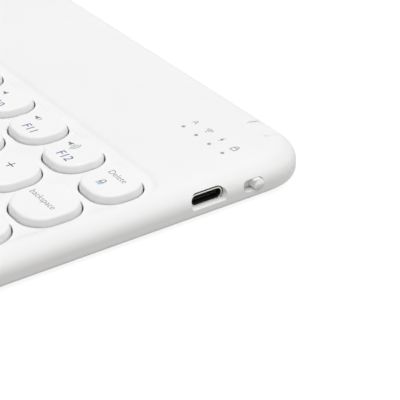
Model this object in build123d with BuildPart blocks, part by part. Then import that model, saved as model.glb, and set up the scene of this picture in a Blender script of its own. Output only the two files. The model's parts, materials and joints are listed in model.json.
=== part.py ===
from build123d import *
from math import cos, radians, sin, tan
import os

# Wireless keyboard of a tablet keyboard case, built as the pieces it comes apart into.
# Millimetres. +X runs to the right-hand side, +Y to the back edge, +Z up.
# The origin is under the middle of the case, on the surface that the feet stand on.

os.makedirs("parts", exist_ok=True)

# ---------------------------------------------------------------- key field
top_row_columns = 14
top_row_pitch = 16.7
top_row_depth = 14.3
top_row_web = 2.0
top_row_corner = 6.1
key_columns = 13
key_depth = 16.15
key_web = 2.28
key_corner = 6.5
row_web = 1.6
side_margin = 4.28
front_margin = 5.3
back_zone = 44.31

# ---------------------------------------------------------------- case
case_corner = 14.5
case_thickness = 8.1
shoulder_width = 3.96
shoulder_drop = 3.32
shoulder_upper_rounding = 8.4
shoulder_lower_rounding = 3.6
rim_rounding = 1.0
side_wall = 2.2
well_depth = 0.6
well_slope = 66.0
well_edge_rounding = 2.0
well_ease = 0.14
well_ease_slope = 80.0
well_corner = 10.0
well_side = 3.4
well_back = 41.56
deck_thickness = 1.2
roof_thickness = 1.2
inner_rounding = 2.3
roof_margin = 6.0
cover_edge = 0.55
cover_seam = 0.1
cover_inset = 1.3
cover_thickness = 1.0
cover_fit = 0.1
cover_rounding = 0.2

# ---------------------------------------------------------------- key caps
key_gap = 0.42
key_rise = 1.9
key_travel = 1.6
key_draft = 10.0
key_top_rounding = 0.7
key_skirt = 0.7
key_wall = 1.0
key_roof = 1.0
clip_width = 3.0
clip_thickness = 0.65
clip_drop = 2.2
plunger_radius = 1.2
seat_gap = 0.05

# ---------------------------------------------------------------- key mechanism
press_gap = 0.8
plate_thickness = 0.4
plate_clearance = 0.4
plate_overhang = 1.4
membrane_thickness = 0.3
scissor_length = 9.0
scissor_width = 10.4
scissor_bar = 1.1
scissor_thickness = 0.7
scissor_tilt = 10.0
scissor_side_gap = 0.1
scissor_cap_gap = 0.4
pivot_radius = 0.18
pivot_fit = 0.04
dome_radius = 2.4
dome_top_ratio = 0.55
dome_height = 2.3
dome_gap = 0.15
dome_wall = 0.3
hook_width = 1.2
hook_thickness = 0.4
hook_height = 0.95
hook_inset = 1.6
hook_gap = 0.1
hook_slot_gap = 0.15
stabiliser_wire = 0.6
stabiliser_least_width = 24.0
stabiliser_inset = 2.6
stabiliser_leg = 8.5
stabiliser_tip = 1.4
stabiliser_bend = 0.8
stake_radius = 0.75
stake_pin = 0.5
stake_head = 1.0
stake_head_height = 0.4
stake_fit = 0.05
stake_columns = 6
stake_spacing = 38.0

# ---------------------------------------------------------------- screws, feet and magnets
screw_radius = 0.8
screw_head_radius = 1.5
screw_head_angle = 45.0
screw_length = 3.4
screw_tip_gap = 0.2
driver_slot = 0.4
driver_slot_depth = 0.35
screw_fit = 0.05
boss_radius = 2.25
bushing_radius = 1.7
back_screw_spacing = 74.0
back_screw_inset = 8.5
field_screw_spacing = 50.0
field_screw_front = 12.3
field_screw_step = 55.0
foot_length = 22.0
foot_width = 6.0
foot_height = 0.5
foot_pocket = 0.35
foot_side_inset = 24.0
foot_end_inset = 9.0
foot_fit = 0.05
magnet_length = 18.0
magnet_width = 6.0
magnet_thickness = 1.5

# ---------------------------------------------------------------- electronics
port_from_back = 32.67
port_below_deck = 3.15
port_recess = 1.6
port_clearance = 0.3
port_stop_gap = 0.05
port_flare = 10.0
port_lip = 0.35
port_lip_slope = 45.0
port_lip_inset = 0.06
shell_width = 8.94
shell_height = 3.16
shell_wall = 0.3
shell_length = 7.35
tongue_width = 6.69
tongue_thickness = 0.7
tongue_recess = 0.7
tongue_base = 2.0
tongue_fit = 0.05
switch_from_back = 20.0
switch_below_deck = 3.47
slot_length = 5.95
slot_height = 2.78
slot_wall = 2.0
knob_length = 2.65
knob_height = 2.56
knob_proud = 0.4
knob_end_gap = 0.25
knob_end_reserve = 0.8
knob_corner = 0.5
knob_crown_drop = 1.3
knob_crown_setback = 0.85
knob_crown_rounding = 0.5
knob_side_rounding = 0.35
flange_gap = 0.1
flange_thickness = 0.75
flange_length = 9.2
flange_height = 3.2
flange_corner = 0.7
flange_pocket = 1.2
flange_play = 0.15
fork_thickness = 0.6
fork_reach = 0.6
lever_width = 1.0
lever_height = 0.65
lever_seat = 1.2
lever_end_gap = 0.1
switch_face_gap = 0.15
switch_body_depth = 2.7
switch_body_length = 8.0
switch_body_height = 1.9
sliding_fit = 0.05
board_thickness = 0.8
board_width = 30.0
board_depth = 27.0
board_side_inset = 3.5
board_back_inset = 12.9
board_post_radius = 1.9
board_corner = 1.0
board_screw_inset = 2.8
third_screw_inset = 8.5
third_screw_shift = 0.3
board_screw_radius = 0.7
board_screw_head = 1.3
board_screw_head_height = 0.6
led_from_back = 21.48
led_from_side = 27.08
led_pitch = 5.4
led_count = 4
led_length = 1.6
led_width = 0.8
led_height = 0.6
pipe_radius = 0.45
pipe_fit = 0.05
pipe_collar = 1.2
pipe_collar_height = 0.5
pipe_led_gap = 0.1
battery_length = 70.0
battery_width = 27.0
battery_height = 4.2
battery_rounding = 1.2
battery_x = -12.0
battery_back_inset = 13.2
lead_diameter = 1.0
lead_spacing = 2.0
lead_clearance = 0.1
lead_climb = 10.0
lead_landing = 1.5
lead_bend = 4.0
lead_entry = 0.9
tail_width = 12.0
tail_thickness = 0.2
tail_landing = 0.6
tail_shift = -2.5
tail_entry = 0.5
controller_size = 5.0
charger_size = 3.0
crystal_length = 3.2
crystal_width = 1.5
chip_height = 0.85
battery_plug_length = 3.4
battery_plug_width = 5.0
tail_plug_depth = 2.6
tail_plug_margin = 2.0
plug_height = 1.5
plug_inset = 0.6
rib_thickness = 0.8
rib_length = 8.0
rib_height = 2.5
rib_gap = 0.1
foot_edge = 0.15
notch_length = 8.4
notch_depth = 0.15
notch_tilt = 9.0
notch_from_side = 15.93
notch_front = 7.86
notch_corner = 1.2

# ---------------------------------------------------------------- worked-out places
field_width = top_row_columns * top_row_pitch
key_pitch = field_width / key_columns
case_bottom = foot_height
case_top = case_bottom + case_thickness
deck_top = case_top - well_depth
deck_underside = deck_top - deck_thickness
roof_underside = case_top - roof_thickness
seam_level = case_bottom + cover_edge + cover_seam
cover_top = case_bottom + cover_thickness
skirt_bottom = deck_top - key_skirt
membrane_level = skirt_bottom - key_travel - press_gap
plate_level = membrane_level - membrane_thickness
key_top = deck_top + key_rise
key_ceiling = key_top - key_roof
screw_head_height = (screw_head_radius - screw_radius) / tan(radians(screw_head_angle))
screw_tip = case_bottom + screw_length
stake_steps = [
    (stake_radius, membrane_level, deck_underside),
    (stake_pin, plate_level - plate_thickness, membrane_level),
    (stake_head, plate_level - plate_thickness - stake_head_height, plate_level - plate_thickness),
]
scissor_sine = sin(radians(scissor_tilt))
scissor_cosine = cos(radians(scissor_tilt))
scissor_half_rise = (scissor_length * scissor_sine + scissor_thickness * scissor_cosine) / 2
scissor_reach = (scissor_length * scissor_cosine + scissor_thickness * scissor_sine) / 2
scissor_level = membrane_level + seat_gap + scissor_half_rise
clip_y = scissor_reach + seat_gap + clip_thickness / 2
hook_y = scissor_reach + hook_gap + hook_thickness / 2
stabiliser_bar_reach = scissor_reach + seat_gap + clip_thickness + seat_gap + stabiliser_wire / 2

# Each row lists, from left to right, a node and the widths of its keys in key pitches.
key_rows = [
    [
        ("key_escape", [1]),
        ("keys_f1_to_f9", [1] * 9),
        ("key_f10", [1]),
        ("key_f11", [1]),
        ("key_f12", [1]),
        ("key_delete", [1]),
    ],
    [
        ("keys_digits", [1] * 10),
        ("key_minus", [1]),
        ("key_equals", [1]),
        ("key_backspace", [1]),
    ],
    [
        ("key_tab", [1]),
        ("keys_q_to_p", [1] * 10),
        ("key_bracket_left", [1]),
        ("key_bracket_right", [1]),
    ],
    [
        ("key_caps_lock", [1]),
        ("keys_a_to_l", [1] * 9),
        ("key_semicolon", [1]),
        ("key_quote", [0.75]),
        ("key_enter", [1.25]),
    ],
    [
        ("key_shift_left", [1.5]),
        ("keys_z_to_slash", [1] * 10),
        ("key_shift_right", [1.5]),
    ],
    [
        ("key_function", [1]),
        ("key_control", [1]),
        ("key_option_left", [1]),
        ("key_command_left", [1.25]),
        ("key_space", [4.5]),
        ("key_command_right", [1.25]),
        ("key_arrow_left", [0.75]),
        ("key_arrow_up", [0.75]),
        ("key_arrow_down", [0.75]),
        ("key_arrow_right", [0.75]),
    ],
]

# The top row is shallower and closer together than the others.
row_depths = [top_row_depth] + [key_depth] * (len(key_rows) - 1)
case_width = field_width + 2 * side_margin
case_depth = front_margin + sum(row_depths) + (len(key_rows) - 1) * row_web + back_zone
case_right = case_width / 2
case_back = case_depth / 2
case_front = -case_depth / 2
inner_width = case_width - 2 * side_wall
inner_depth = case_depth - 2 * side_wall
inner_corner = case_corner - side_wall
row_backs = [case_back - back_zone - sum(row_depths[:row]) - row * row_web for row in range(len(key_rows))]


def places_of_keys():
    """Each node's keys as (centre x, centre y, shape), a shape being a hole's width, depth and plan corner."""
    by_node = {}
    for row, back, depth in zip(key_rows, row_backs, row_depths):
        on_top = row is key_rows[0]
        pitch = top_row_pitch if on_top else key_pitch
        web = top_row_web if on_top else key_web
        corner = top_row_corner if on_top else key_corner
        x = -field_width / 2
        for node, units in row:
            by_node[node] = []
            for unit in units:
                width = unit * pitch - web
                shape = (round(width, 6), depth, min(corner, 0.48 * width))
                by_node[node].append((x + unit * pitch / 2, back - depth / 2, shape))
                x += unit * pitch
    return by_node


keys_by_node = places_of_keys()
all_keys = [key for keys in keys_by_node.values() for key in keys]
points_by_shape = {}
for x, y, shape in all_keys:
    points_by_shape.setdefault(shape, []).append((x, y))
wide_keys = [(x, y, width) for x, y, (width, depth, corner) in all_keys if width > stabiliser_least_width]


def scissor_width_for(width):
    """The outer scissor frame's width, narrower where a narrow key's cap leaves less room."""
    return min(scissor_width, width - 2 * (key_gap + key_wall + scissor_cap_gap))


def inner_width_for(outer_width):
    """The inner scissor frame's width, between the side bars of the outer one."""
    return outer_width - 2 * (scissor_bar + scissor_side_gap)


def dome_radius_for(outer_width):
    """The dome's base radius, inside the opening of the inner scissor frame."""
    return min(dome_radius, inner_width_for(outer_width) / 2 - scissor_bar - dome_gap)


# Keys with room for the same scissor share its shape.
points_by_scissor = {}
for x, y, (width, depth, corner) in all_keys:
    points_by_scissor.setdefault(round(scissor_width_for(width), 6), []).append((x, y))

# Four hooks on the plate hold the ends of each scissor.
hook_points = [
    (x + side * (scissor_width_for(width) / 2 - hook_inset), y + end * hook_y)
    for x, y, (width, depth, corner) in all_keys
    for side in (-1, 1)
    for end in (-1, 1)
]


# Heat stakes hang from the deck in the webs between the rows of keys.
stake_xs = [(i - (stake_columns - 1) / 2) * stake_spacing for i in range(stake_columns)]
stake_ys = [back + row_web / 2 for back in row_backs[1:]]
stake_points = [(x, y) for x in stake_xs for y in stake_ys]

# Screws hold the covers together: four in posts of the top cover behind the keys, eight in the bushings
# under the plate.
back_screw_points = [(i * back_screw_spacing, case_back - back_screw_inset) for i in (-1.5, -0.5, 0.5, 1.5)]
field_screw_points = [
    (i * field_screw_spacing, case_front + field_screw_front + j * field_screw_step)
    for i in (-1.5, -0.5, 0.5, 1.5)
    for j in (0, 1)
]
screw_points = back_screw_points + field_screw_points

# The port, the switch and the lamps sit on the board at the right-hand end of the back zone.
well_length = case_depth - well_back - well_side
well_width = case_width - 2 * well_side
well_y = (case_front + well_side + case_back - well_back) / 2
well_rise = (well_depth - well_ease) * tan(radians(well_slope))
hollow_front = case_back - well_back + roof_thickness
hollow_back = case_back - roof_margin
hollow_width = case_width - 2 * roof_margin
port_y = case_back - port_from_back
port_z = deck_top - port_below_deck
slot_y = case_back - switch_from_back
slot_z = deck_top - switch_below_deck
knob_y = slot_y + slot_length / 2 - knob_end_gap - knob_length / 2
knob_travel = slot_length - knob_length - 2 * knob_end_gap - knob_end_reserve
slide_y = knob_y - knob_travel / 2
knob_root = slot_wall + flange_gap
board_top = port_z - shell_height / 2
board_underside = board_top - board_thickness
board_right = case_right - board_side_inset
board_left = board_right - board_width
board_back = case_back - board_back_inset
board_front = board_back - board_depth
board_x = (board_left + board_right) / 2
board_y = (board_front + board_back) / 2
led_points = [(case_right - led_from_side + i * led_pitch, case_back - led_from_back) for i in range(led_count)]
board_screw_points = [
    (board_left + board_screw_inset, board_back - board_screw_inset),
    (board_left + board_screw_inset, board_front + board_screw_inset),
    (board_right - third_screw_inset, (port_y + slot_y) / 2 + third_screw_shift),
]
port_face = port_recess - port_stop_gap
port_floor = shell_wall - shell_height / 2
port_lip_growth = (port_face - port_lip) * tan(radians(port_flare)) - port_lip_inset
port_plane = Plane((case_right, port_y, port_z), x_dir=(0, 1, 0), z_dir=(1, 0, 0))
slot_plane = Plane((case_right, slot_y, slot_z), x_dir=(0, 1, 0), z_dir=(1, 0, 0))
knob_plane = Plane((case_right, knob_y, slot_z), x_dir=(0, 1, 0), z_dir=(1, 0, 0))
knob_side_plane = Plane((case_right, knob_y, slot_z), x_dir=(1, 0, 0), z_dir=(0, -1, 0))
fork_root = case_right - knob_root - flange_thickness
switch_face = fork_root - fork_reach - switch_face_gap
lever_z = slot_z
battery_back = case_back - battery_back_inset
battery_y = battery_back - battery_width / 2
battery_end = battery_x + battery_length / 2
rib_x = battery_length / 2 + rib_gap + rib_thickness / 2
rib_y = battery_width / 2 - rib_length / 2
battery_plug_left = board_left + plug_inset
battery_plug_x = battery_plug_left + battery_plug_length / 2
lead_low = cover_top + lead_clearance + lead_diameter / 2
lead_high = board_top + lead_entry
tail_x = board_x + tail_shift
tail_plug_front = board_front + plug_inset
tail_plug_y = tail_plug_front + tail_plug_depth / 2
tail_high = plate_level
tail_low = board_top + tail_entry
chips = [
    (board_x - 1.0, board_y - 2.0, controller_size, controller_size, chip_height),
    (board_x - 8.0, board_y - 2.0, charger_size, charger_size, chip_height),
    (board_x + 4.5, board_y + 3.0, crystal_length, crystal_width, chip_height),
    (battery_plug_x, battery_y, battery_plug_length, battery_plug_width, plug_height),
    (tail_x, tail_plug_y, tail_width + tail_plug_margin, tail_plug_depth, plug_height),
]
plate_back = row_backs[0] + plate_overhang
plate_front = case_front + side_wall + plate_clearance
plate_width = inner_width - 2 * plate_clearance
plate_depth = plate_back - plate_front
plate_y = (plate_back + plate_front) / 2
plate_corner = inner_corner - plate_clearance
foot_points = [
    (i * (case_right - foot_side_inset), j * (case_back - foot_end_inset)) for i in (-1, 1) for j in (-1, 1)
]
magnet_points = [
    (-field_screw_spacing, case_front + field_screw_front),
    (field_screw_spacing, case_front + field_screw_front),
    (-1.5 * magnet_length + battery_x - battery_length / 2, battery_back - magnet_width / 2),
    (battery_end + 1.5 * magnet_length, battery_back - magnet_width / 2),
]

# ---------------------------------------------------------------- top cover
with BuildPart() as case_hollow:
    with BuildSketch(Plane.XY):
        RectangleRounded(inner_width, inner_depth, inner_corner)
    extrude(amount=deck_underside)
    fillet(case_hollow.edges().group_by(Axis.Z)[-1], inner_rounding)
    with BuildSketch(Plane.XY.offset(plate_level)):
        with Locations((0, (hollow_front + hollow_back) / 2)):
            RectangleRounded(hollow_width, hollow_back - hollow_front, case_corner - roof_margin)
    extrude(amount=roof_underside - plate_level)

with BuildPart() as top_cover:
    with BuildSketch(Plane.XY.offset(seam_level)):
        RectangleRounded(case_width, case_depth, case_corner)
    extrude(amount=case_top - seam_level)

    # a soft shoulder, wider than it is deep, and a small rounding under it
    top_face = top_cover.faces().sort_by(Axis.Z)[-1]
    chamfer(top_face.edges(), shoulder_width, shoulder_drop, reference=top_face)
    shoulder_foot = case_top - shoulder_drop
    fillet(top_cover.edges().filter_by_position(Axis.Z, shoulder_foot, shoulder_foot), shoulder_lower_rounding)
    fillet(top_cover.edges().group_by(Axis.Z)[-1], shoulder_upper_rounding)
    fillet(top_cover.edges().group_by(Axis.Z)[0], rim_rounding)

    # the shallow well that the keys stand in: it runs out over the shoulder, and steps up to the back zone
    with BuildSketch(Plane.XY.offset(deck_top)):
        with Locations((0, well_y)):
            RectangleRounded(well_width, well_length, well_corner)
    extrude(amount=2 * well_depth, taper=-well_slope, mode=Mode.SUBTRACT)
    with BuildSketch(Plane.XY.offset(case_top - well_ease)):
        with Locations((0, well_y)):
            RectangleRounded(well_width + 2 * well_rise, well_length + 2 * well_rise, well_corner + well_rise)
    extrude(amount=2 * well_ease, taper=-well_ease_slope, mode=Mode.SUBTRACT)
    fillet(top_cover.edges().filter_by_position(Axis.Z, deck_top, deck_top), well_edge_rounding)
    add(case_hollow.part, mode=Mode.SUBTRACT)

    # heat stakes: a shoulder that seats the plate, a pin through it and a melted head under it
    for radius, low, high in stake_steps:
        with BuildSketch(Plane.XY.offset(low)):
            with Locations(*stake_points):
                Circle(radius)
        extrude(amount=high - low)

    # screw posts behind the keys
    with BuildSketch(Plane.XY.offset(cover_top)):
        with Locations(*back_screw_points):
            Circle(boss_radius)
    extrude(amount=roof_underside - cover_top)
    with BuildSketch(Plane.XY.offset(cover_top)):
        with Locations(*back_screw_points):
            Circle(screw_radius + screw_fit)
    extrude(amount=screw_tip + screw_tip_gap - cover_top, mode=Mode.SUBTRACT)

    # charging port: a pocket round the shell, and a flared mouth whose floor hides the shell's lower edge
    with BuildSketch(port_plane.offset(-port_face)):
        SlotOverall(shell_width + 2 * port_clearance, shell_height + 2 * port_clearance)
    extrude(amount=-port_stop_gap - shell_length, mode=Mode.SUBTRACT)
    for depth, growth, slope in ((port_face, 0, port_flare), (port_lip, port_lip_growth, port_lip_slope)):
        mouth_width = shell_width + 2 * (port_clearance + growth)
        mouth_height = shell_height + 2 * (port_clearance + growth)
        with BuildSketch(port_plane.offset(-depth)):
            SlotOverall(mouth_width, mouth_height)
            with Locations((0, port_floor - growth - mouth_height / 2)):
                Rectangle(mouth_width, mouth_height, mode=Mode.SUBTRACT)
        extrude(amount=depth, taper=-slope, mode=Mode.SUBTRACT)

    # slide switch slot, the pocket behind it for the knob's flange, and holes for the light pipes
    with BuildSketch(slot_plane):
        SlotOverall(slot_length, slot_height)
    extrude(amount=-side_wall, mode=Mode.SUBTRACT)
    with BuildSketch(slot_plane.offset(-slot_wall)):
        with Locations((slide_y - slot_y, 0)):
            Rectangle(flange_length + knob_travel + 2 * flange_play, flange_height + 2 * flange_play)
    extrude(amount=-flange_pocket, mode=Mode.SUBTRACT)
    with BuildSketch(Plane.XY.offset(roof_underside)):
        with Locations(*led_points):
            Circle(pipe_radius + pipe_fit)
    extrude(amount=roof_thickness, mode=Mode.SUBTRACT)

    # shallow notch that leans back along the shoulder of the back edge, near the right-hand corner
    notch_place = (case_right - notch_from_side, case_back - notch_front, case_top - notch_depth)
    with BuildSketch(Plane(notch_place).rotated((-notch_tilt, 0, 0))):
        with Locations((0, notch_front)):
            RectangleRounded(notch_length, 2 * notch_front, notch_corner)
    extrude(amount=notch_front, mode=Mode.SUBTRACT)

    # one hole for every key
    with BuildSketch(Plane.XY.offset(deck_underside - inner_rounding)):
        for shape, points in points_by_shape.items():
            with Locations(*points):
                RectangleRounded(*shape)
    extrude(amount=case_top, mode=Mode.SUBTRACT)

top_cover.part.label = "top_cover"
export_step(top_cover.part, "parts/top_cover.step")

# ---------------------------------------------------------------- bottom cover
with BuildPart() as bottom_cover:
    with BuildSketch(Plane.XY.offset(case_bottom)):
        RectangleRounded(case_width - 2 * cover_inset, case_depth - 2 * cover_inset, case_corner - cover_inset)
    extrude(amount=cover_edge)
    fillet(bottom_cover.edges().group_by(Axis.Z)[0], cover_rounding)
    with BuildSketch(Plane.XY.offset(case_bottom + cover_edge)):
        RectangleRounded(inner_width - 2 * cover_fit, inner_depth - 2 * cover_fit, inner_corner - cover_fit)
    extrude(amount=cover_thickness - cover_edge)

    # posts that carry the main board
    with BuildSketch(Plane.XY.offset(cover_top)):
        with Locations(*board_screw_points):
            Circle(board_post_radius)
    extrude(amount=board_underside - cover_top)
    with BuildSketch(Plane.XY.offset(cover_top)):
        with Locations(*board_screw_points):
            Circle(board_screw_radius + screw_fit)
    extrude(amount=board_underside - cover_top, mode=Mode.SUBTRACT)

    # ribs round the battery
    with BuildSketch(Plane.XY.offset(cover_top)):
        for side in (-1, 1):
            for end in (-1, 1):
                with Locations((battery_x + side * rib_x, battery_y + end * rib_y)):
                    Rectangle(rib_thickness, rib_length)
    extrude(amount=rib_height)

    # foot pockets and countersunk screw holes
    with BuildSketch(Plane.XY.offset(case_bottom)):
        with Locations(*foot_points):
            SlotOverall(foot_length + 2 * foot_fit, foot_width + 2 * foot_fit)
    extrude(amount=foot_pocket, mode=Mode.SUBTRACT)
    with BuildSketch(Plane.XY.offset(case_bottom)):
        with Locations(*screw_points):
            Circle(screw_head_radius + screw_fit)
    extrude(amount=screw_head_height, taper=screw_head_angle, mode=Mode.SUBTRACT)
    with BuildSketch(Plane.XY.offset(case_bottom)):
        with Locations(*screw_points):
            Circle(screw_radius + screw_fit)
    extrude(amount=cover_thickness, mode=Mode.SUBTRACT)

bottom_cover.part.label = "bottom_cover"
export_step(bottom_cover.part, "parts/bottom_cover.step")

# ---------------------------------------------------------------- key plate
with BuildPart() as key_plate:
    with BuildSketch(Plane.XY.offset(plate_level)):
        with Locations((0, plate_y)):
            RectangleRounded(plate_width, plate_depth, plate_corner)
        with Locations(*stake_points):
            Circle(stake_pin + stake_fit, mode=Mode.SUBTRACT)
    extrude(amount=-plate_thickness)
    with BuildSketch(Plane.XY.offset(cover_top)):
        with Locations(*field_screw_points):
            Circle(bushing_radius)
            Circle(screw_radius + screw_fit, mode=Mode.SUBTRACT)
    extrude(amount=plate_level - plate_thickness - cover_top)
    with BuildSketch(Plane.XY.offset(plate_level)):
        with Locations(*hook_points):
            Rectangle(hook_width, hook_thickness)
    extrude(amount=hook_height)

key_plate.part.label = "key_plate"
export_step(key_plate.part, "parts/key_plate.step")

# ---------------------------------------------------------------- contact membrane
with BuildPart() as contact_membrane:
    with BuildSketch(Plane.XY.offset(plate_level)):
        with Locations((0, plate_y)):
            RectangleRounded(plate_width, plate_depth, plate_corner)
        with Locations(*stake_points):
            Circle(stake_pin + stake_fit, mode=Mode.SUBTRACT)
        with Locations(*hook_points):
            Rectangle(hook_width + 2 * hook_slot_gap, hook_thickness + 2 * hook_slot_gap, mode=Mode.SUBTRACT)
    extrude(amount=membrane_thickness)

contact_membrane.part.label = "contact_membrane"
export_step(contact_membrane.part, "parts/contact_membrane.step")

# ---------------------------------------------------------------- rubber domes
def rubber_dome(outer_width):
    """A hollow cone that carries a key's plunger, made narrower inside a narrow scissor."""
    base = dome_radius_for(outer_width)
    crown = base * dome_top_ratio
    crown_level = membrane_level + dome_height
    with BuildPart() as dome:
        with BuildSketch(Plane.XZ):
            with BuildLine():
                Polyline(
                    (base, membrane_level),
                    (crown, crown_level),
                    (0, crown_level),
                    (0, crown_level - dome_wall),
                    (crown - dome_wall, crown_level - dome_wall),
                    (base - dome_wall, membrane_level),
                    close=True,
                )
            make_face()
        revolve(axis=Axis.Z)
    return dome.part


dome_sets = [(rubber_dome(width), points) for width, points in points_by_scissor.items()]
with BuildPart() as rubber_domes:
    for dome, points in dome_sets:
        with Locations(*points):
            add(dome)

rubber_domes.part.label = "rubber_domes"
export_step(rubber_domes.part, "parts/rubber_domes.step")

# ---------------------------------------------------------------- scissor frames
def scissor_frame(width, tilt, outer):
    """A sloping ring of a key's scissor. The outer ring has the pivot holes, the inner ring the pins."""
    frame_plane = Plane((0, 0, scissor_level)).rotated((tilt, 0, 0))
    side_plane = Plane((0, 0, scissor_level), x_dir=(0, 1, 0), z_dir=(1, 0, 0))
    with BuildPart() as frame:
        with BuildSketch(frame_plane):
            Rectangle(width, scissor_length)
            Rectangle(width - 2 * scissor_bar, scissor_length - 2 * scissor_bar, mode=Mode.SUBTRACT)
        extrude(amount=scissor_thickness / 2, both=True)
        if outer:
            with BuildSketch(side_plane):
                Circle(pivot_radius + pivot_fit)
            extrude(amount=width / 2, both=True, mode=Mode.SUBTRACT)
        else:
            for side in (-1, 1):
                with BuildSketch(side_plane.offset(side * width / 2)):
                    Circle(pivot_radius)
                extrude(amount=side * (scissor_side_gap + scissor_bar))
    return frame.part


outer_frames = [
    (scissor_frame(width, scissor_tilt, outer=True), points) for width, points in points_by_scissor.items()
]
with BuildPart() as scissor_outer_frames:
    for frame, points in outer_frames:
        with Locations(*points):
            add(frame)

scissor_outer_frames.part.label = "scissor_outer_frames"
export_step(scissor_outer_frames.part, "parts/scissor_outer_frames.step")

inner_frames = [
    (scissor_frame(inner_width_for(width), -scissor_tilt, outer=False), points)
    for width, points in points_by_scissor.items()
]
with BuildPart() as scissor_inner_frames:
    for frame, points in inner_frames:
        with Locations(*points):
            add(frame)

scissor_inner_frames.part.label = "scissor_inner_frames"
export_step(scissor_inner_frames.part, "parts/scissor_inner_frames.step")

# ---------------------------------------------------------------- stabiliser wires
with BuildPart() as stabiliser_wires:
    for x, y, width in wide_keys:
        level = membrane_level + seat_gap + stabiliser_wire / 2
        half = width / 2 - key_gap - key_wall - stabiliser_inset
        bar_y = y - stabiliser_bar_reach
        leg_y = bar_y + stabiliser_leg
        with BuildLine() as route:
            FilletPolyline(
                (x - half + stabiliser_tip, leg_y, level),
                (x - half, leg_y, level),
                (x - half, bar_y, level),
                (x + half, bar_y, level),
                (x + half, leg_y, level),
                (x + half - stabiliser_tip, leg_y, level),
                radius=stabiliser_bend,
            )
        with BuildSketch(Plane(route.line @ 0, z_dir=route.line % 0)):
            Circle(stabiliser_wire / 2)
        sweep(path=route.line)

stabiliser_wires.part.label = "stabiliser_wires"
export_step(stabiliser_wires.part, "parts/stabiliser_wires.step")

# ---------------------------------------------------------------- key caps
def key_cap(hole_width, hole_depth, hole_corner):
    """The cap for one hole: a drafted shell with two clips for the scissor and a plunger for the dome."""
    width = hole_width - 2 * key_gap
    depth = hole_depth - 2 * key_gap
    corner = hole_corner - key_gap
    inset = key_rise * tan(radians(key_draft))
    with BuildPart() as cap:
        with BuildSketch(Plane.XY.offset(skirt_bottom)):
            RectangleRounded(width, depth, corner)
        extrude(amount=deck_top - skirt_bottom)
        with BuildSketch(Plane.XY.offset(deck_top)):
            RectangleRounded(width, depth, corner)
        with BuildSketch(Plane.XY.offset(key_top)):
            RectangleRounded(width - 2 * inset, depth - 2 * inset, corner - inset)
        loft()
        fillet(cap.edges().group_by(Axis.Z)[-1], key_top_rounding)
        with BuildSketch(Plane.XY.offset(skirt_bottom)):
            RectangleRounded(width - 2 * key_wall, depth - 2 * key_wall, corner - key_wall)
        extrude(amount=key_ceiling - skirt_bottom, mode=Mode.SUBTRACT)
        with BuildSketch(Plane.XY.offset(key_ceiling)):
            with Locations((0, -clip_y), (0, clip_y)):
                Rectangle(clip_width, clip_thickness)
        extrude(amount=-clip_drop)
        with BuildSketch(Plane.XY.offset(key_ceiling)):
            Circle(min(plunger_radius, dome_radius_for(scissor_width_for(hole_width)) * dome_top_ratio))
        extrude(amount=membrane_level + dome_height + seat_gap - key_ceiling)
    return cap.part


cap_by_shape = {shape: key_cap(*shape) for shape in points_by_shape}
for node, keys in keys_by_node.items():
    with BuildPart() as caps:
        for x, y, shape in keys:
            with Locations((x, y)):
                add(cap_by_shape[shape])
    caps.part.label = node
    export_step(caps.part, f"parts/{node}.step")

# ---------------------------------------------------------------- main board
with BuildPart() as main_board:
    with BuildSketch(Plane.XY.offset(board_underside)):
        with Locations((board_x, board_y)):
            RectangleRounded(board_width, board_depth, board_corner)
        with Locations(*board_screw_points):
            Circle(board_screw_radius + screw_fit, mode=Mode.SUBTRACT)
    extrude(amount=board_thickness)

main_board.part.label = "main_board"
export_step(main_board.part, "parts/main_board.step")

# controller, charger, crystal and the two connectors
with BuildPart() as board_chips:
    for x, y, length, width, height in chips:
        with BuildSketch(Plane.XY.offset(board_top)):
            with Locations((x, y)):
                Rectangle(length, width)
        extrude(amount=height)

board_chips.part.label = "board_chips"
export_step(board_chips.part, "parts/board_chips.step")

with BuildPart() as board_screws:
    with BuildSketch(Plane.XY.offset(board_top)):
        with Locations(*board_screw_points):
            Circle(board_screw_head)
    extrude(amount=board_screw_head_height)
    with BuildSketch(Plane.XY.offset(cover_top)):
        with Locations(*board_screw_points):
            Circle(board_screw_radius)
    extrude(amount=board_top - cover_top)
    with BuildSketch(Plane.XY.offset(board_top + board_screw_head_height)):
        with Locations(*board_screw_points):
            Rectangle(2 * board_screw_head, driver_slot)
            Rectangle(driver_slot, 2 * board_screw_head)
    extrude(amount=-driver_slot_depth, mode=Mode.SUBTRACT)

board_screws.part.label = "board_screws"
export_step(board_screws.part, "parts/board_screws.step")

# ---------------------------------------------------------------- charging port
shell_plane = port_plane.offset(-port_recess)
with BuildPart() as usb_c_shell:
    with BuildSketch(shell_plane):
        SlotOverall(shell_width, shell_height)
        SlotOverall(shell_width - 2 * shell_wall, shell_height - 2 * shell_wall, mode=Mode.SUBTRACT)
    extrude(amount=-shell_length)

usb_c_shell.part.label = "usb_c_shell"
export_step(usb_c_shell.part, "parts/usb_c_shell.step")

with BuildPart() as usb_c_tongue:
    with BuildSketch(shell_plane.offset(-shell_length)):
        SlotOverall(shell_width - 2 * (shell_wall + tongue_fit), shell_height - 2 * (shell_wall + tongue_fit))
    extrude(amount=tongue_base)
    with BuildSketch(shell_plane.offset(-shell_length)):
        Rectangle(tongue_width, tongue_thickness)
    extrude(amount=shell_length - tongue_recess)

usb_c_tongue.part.label = "usb_c_tongue"
export_step(usb_c_tongue.part, "parts/usb_c_tongue.step")

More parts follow.
